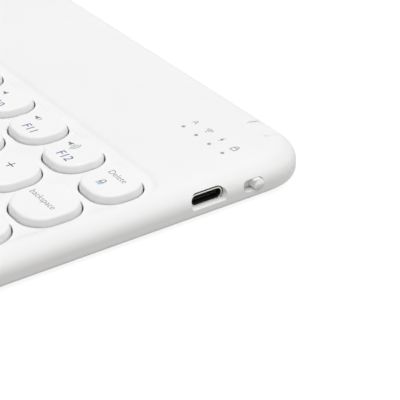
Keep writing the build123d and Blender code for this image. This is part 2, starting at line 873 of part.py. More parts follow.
# ---------------------------------------------------------------- slide switch
with BuildPart() as slide_switch_body:
    with BuildSketch(Plane.XY.offset(board_top)):
        with Locations((switch_face - switch_body_depth / 2, slide_y)):
            Rectangle(switch_body_depth, switch_body_length)
    extrude(amount=switch_body_height)
    with BuildSketch(Plane.XY.offset(lever_z - lever_height / 2 - sliding_fit)):
        with Locations((switch_face - lever_seat / 2, slide_y)):
            Rectangle(lever_seat, lever_width + knob_travel + 2 * lever_end_gap)
    extrude(amount=lever_height + 2 * sliding_fit, mode=Mode.SUBTRACT)

slide_switch_body.part.label = "slide_switch_body"
export_step(slide_switch_body.part, "parts/slide_switch_body.step")

with BuildPart() as switch_lever:
    with BuildSketch(Plane.XY.offset(lever_z - lever_height / 2)):
        with Locations(((switch_face - lever_seat + sliding_fit + fork_root) / 2, knob_y)):
            Rectangle(fork_root - sliding_fit - switch_face + lever_seat - sliding_fit, lever_width)
    extrude(amount=lever_height)

switch_lever.part.label = "switch_lever"
export_step(switch_lever.part, "parts/switch_lever.step")

# the knob stands through the slot on a flange that runs behind the wall and forks round the lever:
# its back end is round like the slot, its front end flat, and its crown leans back with the shoulder
with BuildPart() as switch_knob:
    with BuildSketch(knob_plane.offset(-knob_root)):
        RectangleRounded(knob_length, knob_height, knob_corner)
        with Locations((slot_y - knob_y, 0)):
            SlotOverall(slot_length - 2 * knob_end_gap, knob_height, mode=Mode.INTERSECT)
    extrude(amount=knob_root + knob_proud)
    with BuildSketch(knob_side_plane) as knob_side:
        with BuildLine():
            Polyline(
                (-2 * knob_root, -knob_height / 2),
                (knob_proud, -knob_height / 2),
                (knob_proud, knob_height / 2 - knob_crown_drop),
                (knob_proud - knob_crown_setback, knob_height / 2),
                (-2 * knob_root, knob_height / 2),
                close=True,
            )
        make_face()
        fillet(knob_side.vertices(), knob_crown_rounding)
    extrude(amount=knob_length, both=True, mode=Mode.INTERSECT)
    with BuildSketch(Plane.XY.offset(slot_z)):
        with Locations((case_right + knob_proud - 2 * knob_root, knob_y)):
            RectangleRounded(4 * knob_root, knob_length, knob_side_rounding)
    extrude(amount=knob_height, both=True, mode=Mode.INTERSECT)
    with BuildSketch(knob_plane.offset(-knob_root)):
        RectangleRounded(flange_length, flange_height, flange_corner)
    extrude(amount=-flange_thickness)
    with BuildSketch(knob_plane.offset(-knob_root - flange_thickness)):
        fork_side = lever_width / 2 + sliding_fit + fork_thickness / 2
        with Locations((-fork_side, 0), (fork_side, 0)):
            Rectangle(fork_thickness, lever_height)
    extrude(amount=-fork_reach)

switch_knob.part.label = "switch_knob"
export_step(switch_knob.part, "parts/switch_knob.step")

# ---------------------------------------------------------------- indicator lamps and light pipes
with BuildPart() as indicator_leds:
    with BuildSketch(Plane.XY.offset(board_top)):
        with Locations(*led_points):
            Rectangle(led_length, led_width)
    extrude(amount=led_height)

indicator_leds.part.label = "indicator_leds"
export_step(indicator_leds.part, "parts/indicator_leds.step")

with BuildPart() as light_pipes:
    with BuildSketch(Plane.XY.offset(board_top + led_height + pipe_led_gap)):
        with Locations(*led_points):
            Circle(pipe_radius)
    extrude(amount=case_top - board_top - led_height - pipe_led_gap)
    with BuildSketch(Plane.XY.offset(roof_underside)):
        with Locations(*led_points):
            Circle(pipe_collar)
    extrude(amount=-pipe_collar_height)

light_pipes.part.label = "light_pipes"
export_step(light_pipes.part, "parts/light_pipes.step")

# ---------------------------------------------------------------- battery, its leads and the membrane tail
with BuildPart() as battery_cell:
    with BuildSketch(Plane.XY.offset(cover_top)):
        with Locations((battery_x, battery_y)):
            Rectangle(battery_length, battery_width)
    extrude(amount=battery_height)
    fillet(battery_cell.edges().filter_by(Axis.Y), battery_rounding)

battery_cell.part.label = "battery_cell"
export_step(battery_cell.part, "parts/battery_cell.step")

with BuildPart() as battery_leads:
    for side in (-1, 1):
        lead_y = battery_y + side * lead_spacing / 2
        with BuildLine() as route:
            FilletPolyline(
                (battery_end, lead_y, lead_low),
                (board_left - lead_climb, lead_y, lead_low),
                (board_left - lead_landing, lead_y, lead_high),
                (battery_plug_left, lead_y, lead_high),
                radius=lead_bend,
            )
        with BuildSketch(Plane(route.line @ 0, z_dir=route.line % 0)):
            Circle(lead_diameter / 2)
        sweep(path=route.line)

battery_leads.part.label = "battery_leads"
export_step(battery_leads.part, "parts/battery_leads.step")

with BuildPart() as membrane_tail:
    with BuildSketch(Plane.YZ.offset(tail_x - tail_width / 2)):
        with BuildLine():
            Polyline(
                (plate_back, tail_high),
                (plate_back + tail_landing, tail_high),
                (board_front - tail_landing, tail_low),
                (tail_plug_front, tail_low),
                (tail_plug_front, tail_low + tail_thickness),
                (board_front - tail_landing, tail_low + tail_thickness),
                (plate_back + tail_landing, tail_high + tail_thickness),
                (plate_back, tail_high + tail_thickness),
                close=True,
            )
        make_face()
    extrude(amount=tail_width)

membrane_tail.part.label = "membrane_tail"
export_step(membrane_tail.part, "parts/membrane_tail.step")

# ---------------------------------------------------------------- case screws, feet and magnets
with BuildPart() as case_screws:
    with BuildSketch(Plane.XY.offset(case_bottom)):
        with Locations(*screw_points):
            Circle(screw_head_radius)
    extrude(amount=screw_head_height, taper=screw_head_angle)
    with BuildSketch(Plane.XY.offset(case_bottom)):
        with Locations(*screw_points):
            Circle(screw_radius)
    extrude(amount=screw_length)
    with BuildSketch(Plane.XY.offset(case_bottom)):
        with Locations(*screw_points):
            Rectangle(2 * screw_radius, driver_slot)
            Rectangle(driver_slot, 2 * screw_radius)
    extrude(amount=driver_slot_depth, mode=Mode.SUBTRACT)

case_screws.part.label = "case_screws"
export_step(case_screws.part, "parts/case_screws.step")

with BuildPart() as rubber_feet:
    with BuildSketch(Plane.XY):
        with Locations(*foot_points):
            SlotOverall(foot_length, foot_width)
    extrude(amount=foot_height + foot_pocket)
    chamfer(rubber_feet.edges().group_by(Axis.Z)[0], foot_edge)

rubber_feet.part.label = "rubber_feet"
export_step(rubber_feet.part, "parts/rubber_feet.step")

with BuildPart() as holding_magnets:
    with BuildSketch(Plane.XY.offset(cover_top)):
        with Locations(*magnet_points):
            Rectangle(magnet_length, magnet_width)
    extrude(amount=magnet_thickness)

holding_magnets.part.label = "holding_magnets"
export_step(holding_magnets.part, "parts/holding_magnets.step")
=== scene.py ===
import json
from math import cos, pi, radians, sin

import bmesh
import bpy
from bpy.props import FloatProperty, FloatVectorProperty, IntProperty, PointerProperty
from mathutils import Matrix, Vector


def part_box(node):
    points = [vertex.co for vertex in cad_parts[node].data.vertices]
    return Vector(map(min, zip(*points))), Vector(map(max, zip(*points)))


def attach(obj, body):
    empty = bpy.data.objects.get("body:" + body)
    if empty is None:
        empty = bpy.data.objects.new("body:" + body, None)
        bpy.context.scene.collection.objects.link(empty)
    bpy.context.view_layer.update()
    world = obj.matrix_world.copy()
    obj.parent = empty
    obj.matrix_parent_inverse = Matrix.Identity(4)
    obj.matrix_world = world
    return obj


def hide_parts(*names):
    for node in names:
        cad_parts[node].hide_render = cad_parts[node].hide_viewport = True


bl_info = {
    "name": "Tablet keyboard dressing",
    "version": (1, 0, 0),
    "blender": (4, 5, 0),
    "location": "View3D > Sidebar > Keyboard",
    "description": "Finishes, legends, port contacts and stage of a wireless tablet keyboard",
    "category": "Object",
}

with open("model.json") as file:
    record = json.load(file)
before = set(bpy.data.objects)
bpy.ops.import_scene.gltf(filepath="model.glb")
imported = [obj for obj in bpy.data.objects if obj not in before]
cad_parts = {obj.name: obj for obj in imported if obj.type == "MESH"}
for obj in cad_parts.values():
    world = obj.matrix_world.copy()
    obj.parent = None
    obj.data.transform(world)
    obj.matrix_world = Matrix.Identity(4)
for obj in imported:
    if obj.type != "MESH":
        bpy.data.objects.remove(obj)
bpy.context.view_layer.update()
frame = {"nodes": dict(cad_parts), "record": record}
TOUCHING = 1e-6  # nearer points of a shell are one
HAIR = 1e-7  # shorter edges of a shell are dropped, and nearer points of ink are one
NO_LENGTH = 1e-9
MILLIMETRE = 0.001
MITRE_LIMIT = 0.5  # a stroke's corner reaches out by at most one over this
CAPITAL_SHARE = 0.72  # a capital's height in type of size 1
WHITE = (1, 1, 1, 1)

NOISE = "ShaderNodeTexNoise"
RAMP_ENDS = (0.35, 0.65)  # where a pattern's two colours begin

# Inks on the caps, in the order of their material slots.
KEY_INKS = ["ink_dark", "ink_blue", "ink_mist", "ink_sky", "ink_grey"]
INK_DARK, INK_BLUE, INK_MIST, INK_SKY, INK_GREY = range(5)

# Key nodes and what is printed on their caps, from left to right.
FUNCTION_KEYS = {
    "keys_f1_to_f9": range(1, 10),
    "key_f10": [10],
    "key_f11": [11],
    "key_f12": [12],
}
FUNCTION_MARKS = {
    1: "sun_small",
    2: "sun_large",
    3: "window",
    4: "magnifier",
    5: "globe",
    6: "panel",
    7: "previous",
    8: "play",
    9: "next",
    10: "speaker",
    11: "speaker_low",
    12: "speaker_high",
}
# A pair stands one above the other on its cap; anything else stands alone.
CHARACTER_KEYS = {
    "keys_digits": ["!1", "@2", "#3", "$4", "%5", "^6", "&7", "*8", "(9", ")0"],
    "key_minus": ["_-"],
    "key_equals": ["+="],
    "keys_q_to_p": "QWERTYUIOP",
    "key_bracket_left": ["{["],
    "key_bracket_right": ["}]"],
    "keys_a_to_l": "ASDFGHJKL",
    "key_semicolon": [":;"],
    "key_quote": ["\"'"],
    "keys_z_to_slash": ["Z", "X", "C", "V", "B", "N", "M", "<,", ">.", "?/"],
}
WORD_KEYS = {
    "key_escape": "esc",
    "key_backspace": "backspace",
    "key_tab": "tab",
    "key_caps_lock": "caps lock",
    "key_enter": "enter",
    "key_shift_left": "shift",
    "key_shift_right": "shift",
    "key_function": "fn",
    "key_control": "ctrl",
    "key_option_left": "alt",
    "key_command_left": "cmd",
    "key_command_right": "cmd",
}
# Which way an arrow points, in degrees from the right.
ARROW_KEYS = {
    "key_arrow_up": 90,
    "key_arrow_left": 180,
    "key_arrow_down": 270,
    "key_arrow_right": 0,
}
LAMP_MARKS = ["letter_a", "radio", "bolt", "padlock_case"]

# From a cap's centre to the middle of what is printed there, along X and Y.
NUMBER_PLACE = (0.0009, -0.0026)
ICON_PLACE = (-0.0026, 0.0015)
SIGN_PLACES = ((-0.0005, 0.0016), (-0.0005, -0.0026))
WORD_PLACE = (-0.0007, 0.0001)
DELETE_PLACE = (-0.0005, 0.0024)
PADLOCK_PLACE = (-0.0007, -0.0021)
SYMBOL_GROWTH = 1.5  # the size of signs that are no letter or number, against capitals
ARROW_RADIUS = 0.0011

TONGUE_HALF = 0.00035  # half of the tongue's thickness where the contacts lie
CONTACT_RISE = 0.4  # the contact's middle over the tongue's face, as a share of its thickness
SHADE_RING_STEPS = 12  # faces round each end of the black ring of painted shade

FLOOR_TINT = (1.0, 0.985, 0.94)  # warmth of the light that the floor throws back
FLOOR_GLOW = 1.08  # the floor's brightness where nothing shades it
SENSOR_WIDTH = 36.0
NEAR_CLIP = 0.01

# What sizes, colours, shares and places have in common in the panel.
LENGTH = {"unit": "LENGTH", "precision": 6}
COLOUR = {"subtype": "COLOR", "size": 3, "min": 0, "max": 1}
SHARE = {"subtype": "FACTOR", "min": 0, "max": 1}
PLACE = {"subtype": "XYZ", "unit": "LENGTH", "size": 3}


class KEYBOARD_PG_finishes(bpy.types.PropertyGroup):
    """Colours and sheen of the moulded parts"""

    cover_colour: FloatVectorProperty(
        name="Cover colour", description="Moulded colour of the top cover",
        default=(0.90, 0.90, 0.90), **COLOUR)
    under_colour: FloatVectorProperty(
        name="Bottom cover colour", description="Moulded colour of the bottom cover",
        default=(0.62, 0.62, 0.61), **COLOUR)
    key_colour: FloatVectorProperty(
        name="Key colour", description="Moulded colour of the key caps",
        default=(0.92, 0.92, 0.925), **COLOUR)
    cover_roughness: FloatProperty(
        name="Cover roughness", description="Roughness of the satin covers", default=0.46, **SHARE)
    key_roughness: FloatProperty(
        name="Key roughness", description="Roughness of the key caps", default=0.38, **SHARE)
    grain_size: FloatProperty(
        name="Grain size", description="Size of the moulded texture's grains",
        default=0.0003, **LENGTH)
    grain_depth: FloatProperty(
        name="Grain depth", description="Depth of the moulded texture",
        default=0.000006, **LENGTH)
    smooth_angle: FloatProperty(
        name="Smoothing angle", description="Edges sharper than this stay crisp",
        subtype="ANGLE", default=radians(32))


class KEYBOARD_PG_print(bpy.types.PropertyGroup):
    """Sizes and inks of what is printed on the keys and beside the lamps"""

    letter_height: FloatProperty(
        name="Letter height", description="Height of a capital on a letter key",
        default=0.0028, **LENGTH)
    sign_height: FloatProperty(
        name="Sign height", description="Height of a capital on a key with two signs",
        default=0.0026, **LENGTH)
    word_height: FloatProperty(
        name="Word height", description="Height of a capital in a key's word and beside the lamps",
        default=0.00178, **LENGTH)
    number_height: FloatProperty(
        name="Function number height", description="Height of the function keys' numbers",
        default=0.0025, **LENGTH)
    stroke_thinning: FloatProperty(
        name="Stroke thinning",
        description="How much each side of a letter's stroke draws in, as a share of the type size",
        min=0, max=0.03, precision=3, default=0.014)
    mark_scale: FloatProperty(
        name="Icon scale", description="Size of the icons beside the lamps and of the padlock",
        min=0.1, default=1.0)
    function_scale: FloatProperty(
        name="Function icon scale", description="Size of the function keys' icons",
        min=0.1, default=1.35)
    ink_thickness: FloatProperty(
        name="Ink thickness", description="How far the ink stands on the surface",
        default=0.000012, **LENGTH)
    dark_ink: FloatVectorProperty(
        name="Dark ink", description="Colour of the letters, signs, words and arrows",
        default=(0.075, 0.075, 0.08), **COLOUR)
    blue_ink: FloatVectorProperty(
        name="Blue ink", description="Colour of the function numbers",
        default=(0.07, 0.08, 0.24), **COLOUR)
    sky_ink: FloatVectorProperty(
        name="Sky ink", description="Colour of the padlock's body",
        default=(0.46, 0.57, 0.72), **COLOUR)
    mist_ink: FloatVectorProperty(
        name="Mist ink", description="Colour of the loudspeaker's waves",
        default=(0.46, 0.49, 0.49), **COLOUR)
    grey_ink: FloatVectorProperty(
        name="Grey ink", description="Colour of the icons on function keys and beside the lamps",
        default=(0.17, 0.17, 0.18), **COLOUR)
    lamp_mark_lift: FloatProperty(
        name="Lamp icon offset", description="Distance from a lamp to its icon",
        default=0.0038, **LENGTH)


class KEYBOARD_PG_port(bpy.types.PropertyGroup):
    """Sizes of the charging port's contacts, rim, and black ring of painted shade round it"""

    contact_count: IntProperty(
        name="Contacts", description="Contacts on each face of the tongue", min=1, default=12)
    contact_pitch: FloatProperty(
        name="Contact pitch", description="Distance between contacts", default=0.0005, **LENGTH)
    contact_width: FloatProperty(
        name="Contact width", description="Width of one contact", default=0.00025, **LENGTH)
    contact_length: FloatProperty(
        name="Contact length", description="Length of one contact", default=0.0030, **LENGTH)
    contact_thickness: FloatProperty(
        name="Contact thickness", description="Thickness of one contact",
        default=0.00004, **LENGTH)
    contact_setback: FloatProperty(
        name="Contact setback", description="Distance from the tongue's tip to the contacts",
        default=0.0004, **LENGTH)
    rim_depth: FloatProperty(
        name="Rim depth", description="Depth of the bright rim inside the receptacle",
        default=0.00025, **LENGTH)
    # The gasket below is a black ring of painted shade for the gap round the receptacle, sized like
    # a gasket.
    shade_ring_width: FloatProperty(
        name="Gasket width", description="Width of the foam gasket round the receptacle",
        default=0.00029, **LENGTH)
    shade_ring_setback: FloatProperty(
        name="Gasket setback", description="Distance from the receptacle's rim to the gasket",
        default=0.00008, **LENGTH)
    shade_ring_length: FloatProperty(
        name="Gasket length", description="How far the gasket runs in",
        default=0.001, **LENGTH)


class KEYBOARD_PG_stage(bpy.types.PropertyGroup):
    """The camera, the floor and the light"""

    camera_place: FloatVectorProperty(
        name="Camera place", description="Where the camera stands",
        default=(0.34633, -0.12018, 0.17091), **PLACE)
    camera_turn: FloatVectorProperty(
        name="Camera turn", description="The camera's rotation", subtype="EULER", size=3,
        default=(radians(59.162), radians(-0.659), radians(54.835)))
    camera_lens: FloatProperty(
        name="Lens", description="Focal length on a 36 mm sensor, in millimetres", default=127.44)
    floor_size: FloatProperty(
        name="Floor size", description="Edge of the square floor", default=4.0, **LENGTH)
    floor_shadow: FloatProperty(
        name="Floor shadow", description="Share of the floor's brightness that shadows take away",
        default=0.2, **SHARE)
    floor_bounce: FloatProperty(
        name="Floor bounce", description="Share of the light that the floor throws back",
        default=0.5, **SHARE)
    world_level: FloatProperty(
        name="Sky level", description="Brightness of the surroundings as a light",
        min=0, default=0.44)
    lamp_height: FloatProperty(
        name="Lamp height", description="Height of the soft lamp", default=1.4, **LENGTH)
    lamp_size: FloatProperty(
        name="Lamp size", description="Edge of the soft lamp", default=1.6, **LENGTH)
    lamp_power: FloatProperty(
        name="Lamp power", description="Power of the soft lamp", unit="POWER", default=15.6)
    lamp_lean: FloatVectorProperty(
        name="Lamp offset", description="Offset of the soft lamp from overhead",
        default=(0.28, 0.16, 0.0), **PLACE)


# ---------------------------------------------------------------- materials
def node(tree, kind, inputs=(), **settings):
    """A node with its settings, and its inputs set to values or joined to outputs."""
    made = tree.nodes.new(kind)
    for key, value in settings.items():
        setattr(made, key, value)
    for key, value in dict(inputs).items():
        if isinstance(value, bpy.types.NodeSocket):
            tree.links.new(value, made.inputs[key])
        else:
            made.inputs[key].default_value = value
    return made


def cleared_tree(holder):
    """The node tree of a new material or world, with nothing in it."""
    holder.use_nodes = True
    holder.node_tree.nodes.clear()
    return holder.node_tree


def new_material(name):
    """A new material's node tree, with its Principled shader."""
    tree = cleared_tree(bpy.data.materials.new(name))
    shader = node(tree, "ShaderNodeBsdfPrincipled")
    node(tree, "ShaderNodeOutputMaterial", {"Surface": shader.outputs["BSDF"]})
    return tree, shader


def object_pattern(tree, kind, scale, inputs, stretch=(1, 1, 1)):
    """A texture node on object coordinates, stretched as given."""
    place = node(tree, "ShaderNodeTexCoord").outputs["Object"]
    mapping = node(tree, "ShaderNodeMapping", {"Vector": place, "Scale": stretch})
    return node(tree, kind, {"Vector": mapping.outputs["Vector"], "Scale": scale, **inputs})


def tint(colour, factor=1.0):
    """A colour lighter or darker by a factor, with alpha."""
    return tuple(min(1.0, c * factor) for c in colour[:3]) + (1.0,)


def colour_between(tree, shader, pattern, low, high):
    """Drives the base colour between two colours by a pattern."""
    ramp = node(tree, "ShaderNodeValToRGB", {"Fac": pattern.outputs["Fac"]})
    for element, colour, position in zip(ramp.color_ramp.elements, (low, high), RAMP_ENDS):
        element.color = colour
        element.position = position
    tree.links.new(ramp.outputs["Color"], shader.inputs["Base Color"])


def roughness_between(tree, shader, pattern, low, high):
    """Drives the roughness between two values by a pattern."""
    ends = {"Value": pattern.outputs["Fac"], "To Min": low, "To Max": high}
    spread = node(tree, "ShaderNodeMapRange", ends)
    tree.links.new(spread.outputs["Result"], shader.inputs["Roughness"])


def bump(tree, shader, pattern, depth):
    """A bump of a real depth from a pattern."""
    relief = {"Strength": 1.0, "Distance": depth, "Height": pattern.outputs["Fac"]}
    made = node(tree, "ShaderNodeBump", relief)
    tree.links.new(made.outputs["Normal"], shader.inputs["Normal"])


def moulded_plastic(name, colour, roughness, grain, depth, mottle=0.012):
    """Moulded plastic: a fine spark-eroded grain, a faint mottle and uneven sheen."""
    tree, shader = new_material(name)
    shader.inputs["IOR"].default_value = 1.46
    cloud = object_pattern(tree, NOISE, scale=55.0, inputs={"Detail": 3.0})
    spark = {"Detail": 2.0, "Roughness": 0.6}
    fine = object_pattern(tree, NOISE, scale=1.0 / grain, inputs=spark)
    darker, lighter = tint(colour, 1 - mottle), tint(colour, 1 + mottle / 2)
    colour_between(tree, shader, cloud, darker, lighter)
    roughness_between(tree, shader, cloud, roughness - 0.05, roughness + 0.05)
    bump(tree, shader, fine, depth)


def brushed_metal(name, colour, roughness, stretch=(1, 30, 30), scale=220.0):
    """Metal with fine lines drawn along one axis."""
    tree, shader = new_material(name)
    shader.inputs["Metallic"].default_value = 1.0
    drawn = {"Detail": 4.0, "Roughness": 0.7}
    lines = object_pattern(tree, NOISE, scale, drawn, stretch)
    colour_between(tree, shader, lines, tint(colour, 0.88), tint(colour, 1.08))
    roughness_between(tree, shader, lines, roughness - 0.08, roughness + 0.1)
    bump(tree, shader, lines, depth=0.000003)


def soft_rubber(name, colour, roughness=0.72):
    """Matt rubber or foam with a dusty, uneven surface."""
    tree, shader = new_material(name)
    shader.inputs["IOR"].default_value = 1.5
    matt = {"Detail": 5.0, "Roughness": 0.65}
    dust = object_pattern(tree, NOISE, scale=900.0, inputs=matt)
    colour_between(tree, shader, dust, tint(colour, 0.9), tint(colour, 1.06))
    roughness_between(tree, shader, dust, roughness - 0.08, roughness + 0.08)
    bump(tree, shader, dust, depth=0.00001)


def printed_ink(name, colour):
    """Screen-printed ink: slightly uneven cover and a dull shine."""
    tree, shader = new_material(name)
    cover = object_pattern(tree, NOISE, scale=2600.0, inputs={"Detail": 2.0})
    colour_between(tree, shader, cover, tint(colour, 0.85), tint(colour, 1.25))
    roughness_between(tree, shader, cover, 0.4, 0.6)


def smoked_lens(name, colour):
    """Smoked or tinted plastic of a light pipe or a lamp, under a clear shine."""
    tree, shader = new_material(name)
    shader.inputs["Coat Weight"].default_value = 0.4
    shader.inputs["Coat Roughness"].default_value = 0.12
    haze = object_pattern(tree, NOISE, scale=700.0, inputs={"Detail": 2.0})
    colour_between(tree, shader, haze, tint(colour, 0.85), tint(colour, 1.15))
    roughness_between(tree, shader, haze, 0.2, 0.34)


def striped_film(name, colour, stripe, spacing):
    """Plastic film with conductor tracks printed along it."""
    tree, shader = new_material(name)
    wave = {"Distortion": 0.6, "Detail": 1.0}
    tracks = object_pattern(tree, "ShaderNodeTexWave", scale=1.0 / spacing, inputs=wave)
    colour_between(tree, shader, tracks, tint(colour), tint(stripe))
    roughness_between(tree, shader, tracks, 0.35, 0.5)
    bump(tree, shader, tracks, depth=0.000008)


def solder_mask(name, colour, copper):
    """Board laminate: solder mask over branching copper tracks."""
    tree, shader = new_material(name)
    shader.inputs["Coat Weight"].default_value = 0.3
    mask = {"Color1": tint(colour), "Color2": tint(colour, 1.3)}
    joints = {"Mortar": tint(copper), "Mortar Size": 0.03}
    tracks = object_pattern(tree, "ShaderNodeTexBrick", scale=260.0, inputs={**mask, **joints})
    tree.links.new(tracks.outputs["Color"], shader.inputs["Base Color"])
    roughness_between(tree, shader, tracks, 0.35, 0.25)
    bump(tree, shader, tracks, depth=0.00001)


def finish(name):
    """The material of that name."""
    return bpy.data.materials[name]


def paint(cad_node, material):
    """Gives a CAD node a better finish without touching its mesh."""
    slots = frame["nodes"][cad_node].material_slots
    if not slots:
        raise RuntimeError(f"{cad_node} has no material slot")
    for place in slots:
        place.material = finish(material)


# ---------------------------------------------------------------- meshes
def set_down(name, data):
    """An object of that name and data, in the scene."""
    carrier = bpy.data.objects.new(name, data)
    bpy.context.scene.collection.objects.link(carrier)
    return carrier


def plain_mesh(carrier):
    """A mesh of what an object's curve or modifiers come to."""
    bpy.context.view_layer.update()
    graph = bpy.context.evaluated_depsgraph_get()
    return bpy.data.meshes.new_from_object(carrier.evaluated_get(graph))


def body_of(cad_node):
    """The body a CAD node belongs to."""
    for body, members in frame["record"]["behaviour"]["bodies"].items():
        if cad_node in members:
            return body
    raise RuntimeError(f"no body holds {cad_node}")


def welded_copy(cad_node, material):
    """A welded copy that shades smoothly over a CAD node's rounded edges, and stands for it."""
    source = frame["nodes"][cad_node]
    mesh = bpy.data.meshes.new(cad_node + "_shell")
    form = bmesh.new()
    form.from_mesh(source.data)
    bmesh.ops.remove_doubles(form, verts=form.verts, dist=TOUCHING)
    bmesh.ops.dissolve_degenerate(form, edges=form.edges, dist=HAIR)
    form.to_mesh(mesh)
    form.free()
    mesh.materials.clear()
    mesh.materials.append(finish(material))
    for face in mesh.polygons:
        face.use_smooth = True
    mesh.set_sharp_from_angle(angle=bpy.context.scene.keyboard_finishes.smooth_angle)
    piece = set_down(cad_node + "_shell", mesh)
    weigh = piece.modifiers.new("weighted_normals", "WEIGHTED_NORMAL")
    weigh.mode = "FACE_AREA"
    weigh.keep_sharp = True
    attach(piece, body_of(cad_node))
    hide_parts(cad_node)
    return piece


def face_up(face, ink):
    """Turns a face upwards and gives it its ink."""
    face.normal_update()
    if face.normal.z < 0:
        face.normal_flip()
    face.material_index = ink


class FlatPrint:
    """Ink laid flat on a level surface, gathered for one body."""

    def __init__(self, level, thickness, thinning):
        self.form = bmesh.new()
        self.level = level
        self.thickness = thickness
        self.thinning = thinning

    def outline(self, points, ink=0):
        """A filled polygon, from points in metres."""
        top = self.level + self.thickness
        corners = [self.form.verts.new((x, y, top)) for x, y in points]
        face_up(self.form.faces.new(corners), ink)

    def stroke(self, points, width, ink=0, closed=False):
        """A line of even width along points."""
        count = len(points)
        left, right = [], []
        for i, here in enumerate(points):
            before = points[(i - 1) % count] if closed or i else here
            after = points[(i + 1) % count] if closed or i < count - 1 else here
            a = Vector((here[0] - before[0], here[1] - before[1]))
            b = Vector((after[0] - here[0], after[1] - here[1]))
            a = a.normalized() if a.length > NO_LENGTH else b.normalized()
            b = b.normalized() if b.length > NO_LENGTH else a
            along = (a + b).normalized()
            reach = width / 2 / max(MITRE_LIMIT, along.dot(b))
            left.append((here[0] - along.y * reach, here[1] + along.x * reach))
            right.append((here[0] + along.y * reach, here[1] - along.x * reach))
        for i in range(count if closed else count - 1):
            j = (i + 1) % count
            self.outline([left[i], right[i], right[j], left[j]], ink)

    def text(self, words, x, y, height, ink=0, bold=False):
        """Words centred on a point; bold ones keep the full width of their strokes."""
        curve = bpy.data.curves.new("words", "FONT")
        curve.body = words
        curve.size = 1.0
        curve.align_x = "CENTER"
        curve.resolution_u = 4
        curve.offset = 0.0 if bold else -self.thinning
        carrier = set_down("words", curve)
        mesh = plain_mesh(carrier)
        xs = [v.co.x for v in mesh.vertices]
        ys = [v.co.y for v in mesh.vertices]
        middle_x = (max(xs) + min(xs)) / 2
        middle_y = CAPITAL_SHARE / 2
        if len(words) == 1 and not words.isalnum():
            middle_y = (max(ys) + min(ys)) / 2
        placed = Matrix.Translation((x, y, self.level + self.thickness))
        placed = placed @ Matrix.Scale(height / CAPITAL_SHARE, 4)
        mesh.transform(placed @ Matrix.Translation((-middle_x, -middle_y, 0)))
        start = len(self.form.faces)
        self.form.from_mesh(mesh)
        self.form.faces.ensure_lookup_table()
        for face in self.form.faces[start:]:
            face_up(face, ink)
        bpy.data.objects.remove(carrier)
        bpy.data.curves.remove(curve)
        bpy.data.meshes.remove(mesh)

    def as_piece(self, name, materials, body):
        """The ink as one thin closed piece on its body."""
        bmesh.ops.remove_doubles(self.form, verts=self.form.verts, dist=HAIR)
        grown = bmesh.ops.extrude_face_region(self.form, geom=list(self.form.faces))
        low = [v for v in grown["geom"] if isinstance(v, bmesh.types.BMVert)]
        bmesh.ops.translate(self.form, verts=low, vec=(0, 0, -2 * self.thickness))
        bmesh.ops.recalc_face_normals(self.form, faces=self.form.faces)
        mesh = bpy.data.meshes.new(name)
        self.form.to_mesh(mesh)
        self.form.free()
        for material in materials:
            mesh.materials.append(material)
        piece = set_down(name, mesh)
        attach(piece, body)


def arc(x, y, radius, start, end, steps=10):
    """Points along an arc, in degrees."""
    turns = [radians(start + (end - start) * i / steps) for i in range(steps + 1)]
    return [(x + radius * cos(a), y + radius * sin(a)) for a in turns]


def ring(x, y, radius, corners):
    """Points round a whole circle."""
    return arc(x, y, radius, 0, 360 - 360 / corners, corners - 1)


# ---------------------------------------------------------------- icons
class IconPen:
    """Draws in millimetres round one icon's centre, with a first and a second ink."""

    def __init__(self, layer, x, y, scale, ink, second):
        self.layer = layer
        self.x = x
        self.y = y
        self.scale = scale * MILLIMETRE
        self.ink = ink
        self.second = second

    def place(self, points):
        """Where the icon's points lie on the part, in metres."""
        return [(self.x + px * self.scale, self.y + py * self.scale) for px, py in points]

    def fill(self, points, ink=None):
        """A filled polygon, in the first ink unless another is named."""
        self.layer.outline(self.place(points), self.ink if ink is None else ink)

    def line(self, points, ink=None, closed=False, width=0.2):
        """A line of even width, in the first ink unless another is named."""
        ink = self.ink if ink is None else ink
        self.layer.stroke(self.place(points), width * self.scale, ink, closed)


def draw_sun(pen, size, reach):
    pen.fill(ring(0, 0, size, 12))
    inner = size + 0.2
    for i in range(8):
        a = i * pi / 4
        pen.line([(inner * cos(a), inner * sin(a)), (reach * cos(a), reach * sin(a))])


def draw_window(pen):
    pen.line([(-0.9, -0.65), (0.9, -0.65), (0.9, 0.65), (-0.9, 0.65)], closed=True)
    pen.line([(-0.8, 0.3), (0.8, 0.3)])


def draw_panel(pen):
    pen.line([(-1.1, -0.6), (1.1, -0.6), (1.1, 0.6), (-1.1, 0.6)], closed=True)
    pen.line([(-0.6, -0.2), (0.6, -0.2)])
    for x in (-0.6, -0.2, 0.2, 0.6):
        pen.line([(x - 0.08, 0.2), (x + 0.08, 0.2)])


def draw_magnifier(pen):
    pen.line(ring(-0.15, 0.15, 0.6, 12), closed=True)
    pen.line([(0.35, -0.35), (0.85, -0.85)], width=0.28)


def draw_globe(pen):
    pen.line(ring(0, 0, 0.85, 16), closed=True)
    for way in (-1, 1):
        pen.line([(way * 0.3, -0.6), (way * 0.42, 0.0), (way * 0.3, 0.6)])


def draw_skip(pen, way):
    pen.fill([(-0.9 * way, -0.55), (-0.05 * way, 0), (-0.9 * way, 0.55)])
    pen.fill([(0.05 * way, -0.55), (0.9 * way, 0), (0.05 * way, 0.55)])
    pen.line([(1.05 * way, -0.55), (1.05 * way, 0.55)])


def draw_play(pen):
    pen.fill([(-0.95, -0.55), (0, 0), (-0.95, 0.55)])
    for x in (0.35, 0.75):
        pen.line([(x, -0.55), (x, 0.55)])


def draw_speaker(pen, waves):
    front = (1.0 - max(waves, default=0.0)) / 2
    body = [(-1.0, -0.22), (-0.5, -0.22), (0.0, -0.62), (0.0, 0.62), (-0.5, 0.22), (-1.0, 0.22)]
    pen.fill([(front + x, y) for x, y in body])
    for radius in waves:
        pen.line(arc(front, 0, radius, -50, 50, 8), pen.second, width=0.3)


